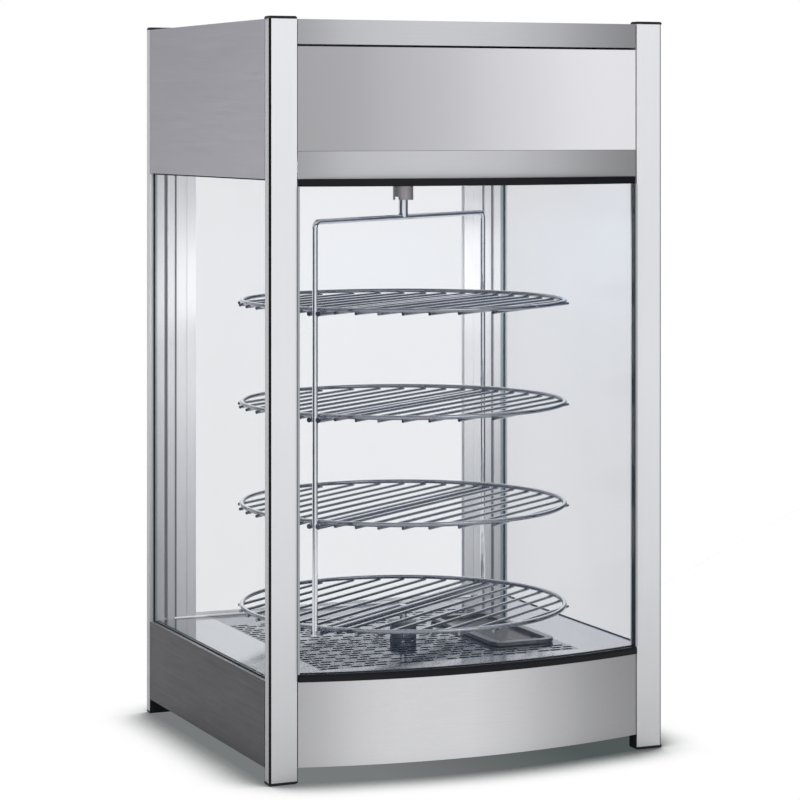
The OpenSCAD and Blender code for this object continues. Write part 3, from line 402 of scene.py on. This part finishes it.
LOOK = {
    post_alu: ["post_front_left", "post_front_right"],
    rear_alu: ["post_rear_left", "post_rear_right"],
    stile_alu: ["door_stile_hinge", "door_stile_latch"],
    rail_alu: ["door_rails"],
    rail_steel: ["top_rail", "lower_rail"],
    front_steel: ["base_front_panel"],
    side_steel: ["upper_left_panel", "upper_right_panel"],
    base_side_painted_shade: ["base_left_panel", "base_right_panel"],
    rear_steel: ["base_rear_panel", "upper_rear_panel"],
    roof_steel: ["roof_panel"],
    sign_metal: ["sign_panel"],
    ceiling_steel: ["ceiling_plate"],
    zinc: ["base_pan", "motor_bracket", "heater_brackets"],
    floor_metal: ["floor_plate"],
    wire: ["rack_top", "rack_upper", "rack_lower", "rack_bottom"],
    hanger_wire: ["hanger", "pivot_pin", "motor_shaft"],
    handle_metal: ["door_handle"],
    screw_metal: ["hub_set_screw", "case_screws", "door_pivots"],
    pan_steel: ["water_pan"],
    black_trim: ["front_lower_trim", "front_upper_trim", "corner_beads"],
    black_cap: ["top_caps", "foot_caps", "switch_bezels", "cord_gland"],
    rubber: ["left_gasket", "right_gasket"],
    seal: ["front_glass_seals"],
    dark_metal: ["top_bearing", "drive_hub", "door_catch"],
    motor_paint: ["gear_motor", "thermostat"],
    sheath: ["heating_element"],
    ceramic: ["lamp_holders"],
    frost: ["lamp_bulbs"],
    knob_plastic: ["thermostat_knob"],
    red_plastic: ["power_rocker"],
    green_plastic: ["light_rocker"],
    front_pane: ["front_glass"],
    left_pane: ["left_glass"],
    right_pane: ["right_glass"],
    door_pane: ["door_glass"],
}
for look, names in LOOK.items():
    for name in names:
        slots = NODES[name].data.materials
        slots.clear()
        slots.append(look.material)
dressed = {name for names in LOOK.values() for name in names}
assert dressed == set(NODES), sorted(dressed ^ set(NODES))


# Small pieces


def piece(name, bm, look, body, smooth=True):
    """Turns a bmesh into a piece that rides on a body."""
    mesh = bpy.data.meshes.new(name)
    bmesh.ops.recalc_face_normals(bm, faces=bm.faces)
    bm.to_mesh(mesh)
    bm.free()
    for polygon in mesh.polygons:
        polygon.use_smooth = smooth
    mesh.materials.append(look.material)
    o = bpy.data.objects.new(name, mesh)
    bpy.context.scene.collection.objects.link(o)
    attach(o, body)


def blob(bm, at, size, turn):
    """Closed ellipsoid of half sizes size about a point, turned about Z."""
    matrix = Matrix.Translation(at) @ Matrix.Rotation(turn, 4, "Z") @ Matrix.Diagonal((*size, 1.0))
    bmesh.ops.create_uvsphere(bm, u_segments=10, v_segments=6, radius=1.0, matrix=matrix)


RACKS = ("rack_top", "rack_upper", "rack_lower", "rack_bottom")
RACK_Y = -18.4 * MM
RING_R = 183.3 * MM
RING_WIRE = 2.5 * MM
TURN = math.radians(36.5)
FIRST_WIRE, WIRE_STEP, WIRES = 22.5 * MM, 23.6 * MM, 7
# A middle bar's distance from the racks' middle
BAR_OFF = 5.75 * MM
# Half sizes of the welds: along the wire, across it and upwards
CROSS_WELD = (2.3 * MM, 2.1 * MM, 1.0 * MM)
BAR_WELD = (2.6 * MM, 2.6 * MM, 1.3 * MM)
WELD_DROP, BAR_WELD_DROP = 0.35 * MM, 0.4 * MM
WOBBLE = 0.15


def rack_point(along, off, z):
    """Point at a height, from distances along a rack's wires and across them."""
    c, s = math.cos(TURN), math.sin(TURN)
    return Vector((along * c - off * s, RACK_Y + along * s + off * c, z))


for rack in RACKS:
    ring_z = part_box(rack)[1].z - RING_WIRE
    joint_z = ring_z - RING_WIRE - WELD_DROP
    welds = bmesh.new()
    for side in (-1, 1):
        for k in range(WIRES):
            off = side * (FIRST_WIRE + k * WIRE_STEP)
            along = math.sqrt(RING_R ** 2 - off ** 2)
            for end in (-1, 1):
                wobble = WOBBLE * math.sin(7.3 * k + 2.1 * end + 1.7 * side + ring_z * 90)
                size = (CROSS_WELD[0] * (1 + wobble), *CROSS_WELD[1:])
                blob(welds, rack_point(end * along, off, joint_z), size, TURN)
        for end in (-1, 1):
            place = rack_point(end * RING_R, side * BAR_OFF, joint_z - BAR_WELD_DROP)
            blob(welds, place, BAR_WELD, TURN)
    piece(rack + "_welds", welds, weld_metal, "turntable")


# Welds of the hanger: its uprights to the racks' middle bars, and its stub to the cross piece
HANGER_R, UPRIGHT_SIDE = 190.2 * MM, 3.1 * MM
BAR_WIRE = 2.75 * MM
UPRIGHT_WELD = (2.8 * MM, 1.2 * MM, 2.2 * MM)
STUB_SIDE, CROSS_PIECE_Z = 5.6 * MM, 589.0 * MM
STUB_WELD = (2.0 * MM, 2.6 * MM, 1.6 * MM)
hanger_welds = bmesh.new()
for rack in RACKS:
    bar_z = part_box(rack)[0].z + BAR_WIRE
    for end in (-1, 1):
        for side in (-1, 1):
            place = rack_point(end * HANGER_R, side * UPRIGHT_SIDE, bar_z)
            blob(hanger_welds, place, UPRIGHT_WELD, TURN)
for side in (1, -1):
    blob(hanger_welds, rack_point(side * STUB_SIDE, 0, CROSS_PIECE_Z), STUB_WELD, TURN)
piece("hanger_welds", hanger_welds, weld_metal, "turntable")


def box_mesh(bm, low, high, turn=None, about=None):
    """Closed box between two corners, turned about a point if asked."""
    low, high = Vector(low), Vector(high)
    made = bmesh.ops.create_cube(bm, size=1.0)["verts"]
    for v in made:
        v.co = Vector(((low.x + high.x) / 2 + v.co.x * (high.x - low.x),
                       (low.y + high.y) / 2 + v.co.y * (high.y - low.y),
                       (low.z + high.z) / 2 + v.co.z * (high.z - low.z)))
    if turn is not None:
        bmesh.ops.rotate(bm, verts=made, cent=about, matrix=turn)


# Dark strips in the grooves of the rear posts, painted shade that stands for the dark in the grooves, and
# the seals between the door and the posts:
# the range of each from the middle outwards and back from the posts' faces
DOOR_LOW, DOOR_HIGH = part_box("door_stile_latch")
POST_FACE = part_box("post_rear_left")[0].y
STRIP_X, STRIP_Y = (210.6 * MM, 213.6 * MM), (1.6 * MM, 2.58 * MM)
SEAL_X, SEAL_Y = (198.82 * MM, 200.6 * MM), (2.2 * MM, 6.2 * MM)
groove_shade_strips = bmesh.new()
door_seals = bmesh.new()
for side in (-1, 1):
    for strips, across_range, (y1, y2) in (
            (groove_shade_strips, STRIP_X, STRIP_Y), (door_seals, SEAL_X, SEAL_Y)):
        x1, x2 = sorted(side * x for x in across_range)
        box_mesh(strips, (x1, POST_FACE + y1, DOOR_LOW.z), (x2, POST_FACE + y2, DOOR_HIGH.z))
piece("post_groove_shade_strips", groove_shade_strips, rubber_and_groove_shade, "case", smooth=False)
piece("door_seals", door_seals, rubber_and_groove_shade, "rear_door", smooth=False)


# Printed scale round the thermostat knob, on the rear base panel
CONTROL_Z = 62 * MM
PANEL_Y = 202.6 * MM
KNOB = Vector((-40 * MM, PANEL_Y, CONTROL_Z))
MARKS, FIRST_MARK, MARK_STEP = 11, -135, 27
SCALE_R, MARK_HALF = 19.0 * MM, 0.35 * MM
LONG_MARK, SHORT_MARK = 4.0 * MM, 2.6 * MM
MARK_SINK, MARK_RISE = 0.02 * MM, 0.12 * MM
scale_marks = bmesh.new()
for step in range(MARKS):
    angle = math.radians(FIRST_MARK + MARK_STEP * step)
    long = LONG_MARK if step % 5 == 0 else SHORT_MARK
    box_mesh(scale_marks, KNOB + Vector((-MARK_HALF, -MARK_SINK, SCALE_R)),
             KNOB + Vector((MARK_HALF, MARK_RISE, SCALE_R + long)),
             Matrix.Rotation(angle, 3, "Y"), KNOB)
piece("thermostat_scale", scale_marks, black_cap, "case", smooth=False)


# A rocker's pivot, its tilt in the off position and the slope of its two faces, 1.8 mm over 12 mm
ROCKER_Y, ROCKER_TILT = 201.6 * MM, math.radians(-9)
ROCKER_SLOPE = 1.8 / 12.0
ROCKER_FACE = 3.6 * MM
BAR_HALF, BAR_RISE = 0.4 * MM, 0.12 * MM
BAR_LOW, BAR_HIGH = 4.0 * MM, 8.0 * MM
MARK_RING_Z, MARK_RING_R = -6.0 * MM, 1.8 * MM
MARK_LINE_HALF, MARK_LINE_RISE = 0.28 * MM, 0.1 * MM


def rocker_marks(name, body, x):
    """Bar and ring that mark a rocker's two ends, lying on its hollowed face."""
    centre = Vector((x, ROCKER_Y, CONTROL_Z))
    tilt = Matrix.Rotation(ROCKER_TILT, 3, "X")
    bm = bmesh.new()
    box_mesh(bm, centre + Vector((-BAR_HALF, ROCKER_FACE, BAR_LOW)),
             centre + Vector((BAR_HALF, ROCKER_FACE + BAR_RISE, BAR_HIGH)))
    for v in bm.verts:
        v.co.y += (v.co.z - centre.z) * ROCKER_SLOPE
    turns, sections = 32, 8
    loops = []
    for i in range(turns):
        a = 2 * math.pi * i / turns
        loop = []
        for j in range(sections):
            b = 2 * math.pi * j / sections
            r = MARK_RING_R + MARK_LINE_HALF * math.cos(b)
            z = MARK_RING_Z + r * math.sin(a)
            y = ROCKER_FACE - z * ROCKER_SLOPE + MARK_LINE_RISE * math.sin(b)
            loop.append(bm.verts.new(centre + Vector((r * math.cos(a), y, z))))
        loops.append(loop)
    for i in range(turns):
        for j in range(sections):
            bm.faces.new((loops[i][j], loops[(i + 1) % turns][j],
                          loops[(i + 1) % turns][(j + 1) % sections], loops[i][(j + 1) % sections]))
    bmesh.ops.rotate(bm, verts=bm.verts, cent=centre, matrix=tilt)
    piece(name, bm, white_print, body)


rocker_marks("power_rocker_marks", "power_switch", -150 * MM)
rocker_marks("light_rocker_marks", "light_switch", -110 * MM)


# Stage

# Lit and dark patches of the studio, and the dark flags that only metal sees: azimuth, elevation,
# half width where the patch is full, half width where it ends, all in degrees, and strength
SOFT_LEVEL = 0.74
LIT_PATCHES = ((0, 90, 10, 80, 0.20), (-16, 12, 22, 58, 0.34), (180, 0, 20, 55, 0.24))
DARK_PATCHES = ((104, 0, 22, 60, 0.62), (-112, 0, 14, 52, 0.46))
FLAGS = ((92, 0, 34, 56, 0.96), (-108, 0, 26, 52, 0.90))
# Height, as the sine of the elevation, over which the flags fade out
FLAG_TOP = (0.22, 0.46)
SKY = (0.968, 0.977, 1.0)

FLOOR_HALF = 200.0
FLOOR_DROP = 0.2 * MM
SHADOW_REACH = 0.085
# Openness at which the contact shadow is deepest and at which it ends
SHADOW_RANGE = (0.50, 0.95)
LEFT_SHADOW, RIGHT_SHADOW = (0.185, 0.195, 0.195), (0.082, 0.100, 0.098)
SHADOW_TURN = (-0.10, 0.14)
# Dark cards on the studio floor, as metal sees them: azimuth, full half width and outer half width
# in degrees, then the distance over which they set in and their darkness
CARDS = ((98, 52, 66), (-80, 30, 42))
CARD_DISTANCE = (1.2, 2.2)
CARD_DEPTH = 0.97


def world_light():
    """White to the camera and through glass; white with dark flags in metal; a soft studio to all else."""
    world = bpy.data.worlds.new("studio")
    bpy.context.scene.world = world
    world.use_nodes = True
    tree = world.node_tree
    tree.nodes.clear()

    def node(kind, **values):
        n = tree.nodes.new(kind)
        for key, value in values.items():
            setattr(n, key, value)
        return n

    def maths(operation, a, b, clamp=False):
        n = node("ShaderNodeMath", operation=operation, use_clamp=clamp)
        for value, s in ((a, n.inputs[0]), (b, n.inputs[1])):
            if isinstance(value, bpy.types.NodeSocket):
                tree.links.new(value, s)
            else:
                s.default_value = value
        return n.outputs[0]

    def smooth(value, low, high, to_low, to_high):
        n = node("ShaderNodeMapRange", interpolation_type="SMOOTHSTEP")
        tree.links.new(value, n.inputs["Value"])
        for key, v in (("From Min", low), ("From Max", high), ("To Min", to_low), ("To Max", to_high)):
            n.inputs[key].default_value = v
        return n.outputs["Result"]

    direction = node("ShaderNodeTexCoord").outputs["Generated"]

    def lobe(azimuth, elevation, inner, outer, strength):
        """Soft patch of light round a direction, full inside inner degrees and gone at outer."""
        a, e = math.radians(azimuth), math.radians(elevation)
        dot = node("ShaderNodeVectorMath", operation="DOT_PRODUCT")
        tree.links.new(direction, dot.inputs[0])
        dot.inputs[1].default_value = (math.sin(a) * math.cos(e), -math.cos(a) * math.cos(e), math.sin(e))
        ends = math.cos(math.radians(outer)), math.cos(math.radians(inner))
        return smooth(dot.outputs["Value"], *ends, 0.0, strength)

    soft = SOFT_LEVEL
    for patch in LIT_PATCHES:
        soft = maths("ADD", soft, lobe(*patch))
    for patch in DARK_PATCHES:
        soft = maths("SUBTRACT", soft, lobe(*patch))
    soft = maths("ADD", soft, 0.0, clamp=True)
    flags = maths("ADD", *(lobe(*flag) for flag in FLAGS))
    height = node("ShaderNodeSeparateXYZ")
    tree.links.new(direction, height.inputs[0])
    below = smooth(height.outputs["Z"], *FLAG_TOP, 1.0, 0.0)
    flagged = maths("SUBTRACT", 1.0, maths("MULTIPLY", flags, below), clamp=True)
    seen = node("ShaderNodeLightPath")

    def shade(level, colour):
        n = node("ShaderNodeBackground")
        n.inputs["Color"].default_value = (*colour, 1)
        if isinstance(level, bpy.types.NodeSocket):
            tree.links.new(level, n.inputs["Strength"])
        return n.outputs[0]

    def either(factor, a, b):
        """Shader a where factor is 0, b where it is 1."""
        n = node("ShaderNodeMixShader")
        for value, s in zip((factor, a, b), n.inputs):
            tree.links.new(value, s)
        return n.outputs[0]

    through = maths("MAXIMUM", seen.outputs["Is Camera Ray"], seen.outputs["Is Transmission Ray"])
    mix = either(seen.outputs["Is Glossy Ray"], shade(soft, SKY), shade(flagged, SKY))
    mix = either(through, mix, shade(1.0, (1, 1, 1)))
    out = node("ShaderNodeOutputWorld")
    tree.links.new(mix, out.inputs["Surface"])


def floor_cards(m):
    """1 where metal sees one of the dark cards on the floor, and 0 elsewhere."""
    place = m.coords((1, 1, 1))
    outward = m.node("ShaderNodeVectorMath", operation="NORMALIZE")
    m.link(place, outward.inputs[0])
    length = m.node("ShaderNodeVectorMath", operation="LENGTH")
    m.link(place, length.inputs[0])
    dark = None
    for azimuth, full, outer in CARDS:
        a = math.radians(azimuth)
        along = m.node("ShaderNodeVectorMath", operation="DOT_PRODUCT")
        m.link(outward.outputs["Vector"], along.inputs[0])
        along.inputs[1].default_value = (math.sin(a), -math.cos(a), 0.0)
        low, high = math.cos(math.radians(outer)), math.cos(math.radians(full))
        card = m.remap(along.outputs["Value"], low, high, 0.0, CARD_DEPTH, smooth=True)
        dark = card if dark is None else m.math("ADD", dark, card, clamp=True)
    far = m.remap(length.outputs["Value"], *CARD_DISTANCE, 0.0, 1.0, smooth=True)
    return m.math("MULTIPLY", dark, far)


def studio_floor():
    """Large white floor; to the camera and in reflections it keeps only the object's soft contact shadow."""
    bm = bmesh.new()
    bmesh.ops.create_grid(bm, x_segments=1, y_segments=1, size=FLOOR_HALF)
    mesh = bpy.data.meshes.new("studio_floor")
    bm.to_mesh(mesh)
    bm.free()
    o = bpy.data.objects.new("studio_floor", mesh)
    o.location.z = -FLOOR_DROP
    bpy.context.scene.collection.objects.link(o)
    m = Mat("studio_floor", (0.30, 0.30, 0.31), Roughness=0.9)
    m.put("Specular IOR Level", 0.0)
    near = m.node("ShaderNodeAmbientOcclusion", samples=16)
    near.inputs["Distance"].default_value = SHADOW_REACH
    shade = m.remap(near.outputs["AO"], *SHADOW_RANGE, 0.0, 1.0, smooth=True)
    white = m.node("ShaderNodeEmission")
    rightward = m.remap(m.position("X"), *SHADOW_TURN, 0.0, 1.0)
    deep = m.blend(rightward, LEFT_SHADOW, RIGHT_SHADOW)
    m.link(m.blend(shade, deep, (1.0, 1.0, 1.0)), white.inputs["Color"])
    rays = m.node("ShaderNodeLightPath")
    dark = m.math("MULTIPLY", floor_cards(m), rays.outputs["Is Glossy Ray"])
    m.link(m.math("SUBTRACT", 1.0, dark), white.inputs["Strength"])
    plain = m.math("MAXIMUM", rays.outputs["Is Camera Ray"], rays.outputs["Is Transmission Ray"])
    plain = m.math("MAXIMUM", plain, rays.outputs["Is Glossy Ray"])
    mix = m.node("ShaderNodeMixShader")
    m.link(plain, mix.inputs[0])
    m.link(m.bsdf.outputs[0], mix.inputs[1])
    m.link(white.outputs[0], mix.inputs[2])
    m.link(mix.outputs[0], m.out.inputs["Surface"])
    mesh.materials.append(m.material)


def area(name, at, target, size, power):
    """Soft lamp panel of a size in metres and a power in watts, turned towards a target."""
    light = bpy.data.lights.new(name, "AREA")
    light.shape = "RECTANGLE"
    light.size, light.size_y = size
    light.energy = power
    o = bpy.data.objects.new(name, light)
    o.location = at
    o.rotation_mode = "QUATERNION"
    o.rotation_quaternion = (Vector(target) - Vector(at)).to_track_quat("-Z", "Y")
    bpy.context.scene.collection.objects.link(o)
    return o


world_light()
studio_floor()
LAMP_Z = 0.60
area("key", (0.9, -2.6, 2.2), (0, 0, 0.45), (1.4, 1.4), 14)
cabinet = area("cabinet_lamp", (0, RACK_Y, LAMP_Z), (0, RACK_Y, 0.1), (0.34, 0.30), 1.0)
head = area("head_lamp", (0, -0.16, LAMP_Z), (0, 0.20, 0.52), (0.34, 0.03), 0.9)
for lamp in (cabinet, head):
    lamp.visible_camera = False
    lamp.visible_glossy = False


# Camera

# The photo's camera: level, with the focal length and the horizon's row in pixels of its image
IMAGE = 800
FOCAL_PX = 2796.0
HORIZON_PX = 122.8
SENSOR = 36.0
CAMERA_PLACE = (-1.268, -2.934, 0.693)
CAMERA_TURN = math.radians(-23.44)
camera_data = bpy.data.cameras.new("camera")
camera_data.sensor_width = SENSOR
camera_data.lens = FOCAL_PX / IMAGE * SENSOR
camera_data.shift_y = (HORIZON_PX - IMAGE / 2) / IMAGE
camera_data.clip_start, camera_data.clip_end = 0.05, 60
camera = bpy.data.objects.new("camera", camera_data)
camera.location = CAMERA_PLACE
camera.rotation_euler = (math.radians(90), 0, CAMERA_TURN)
bpy.context.scene.collection.objects.link(camera)
bpy.context.scene.camera = camera
bpy.context.scene.view_settings.view_transform = "Standard"
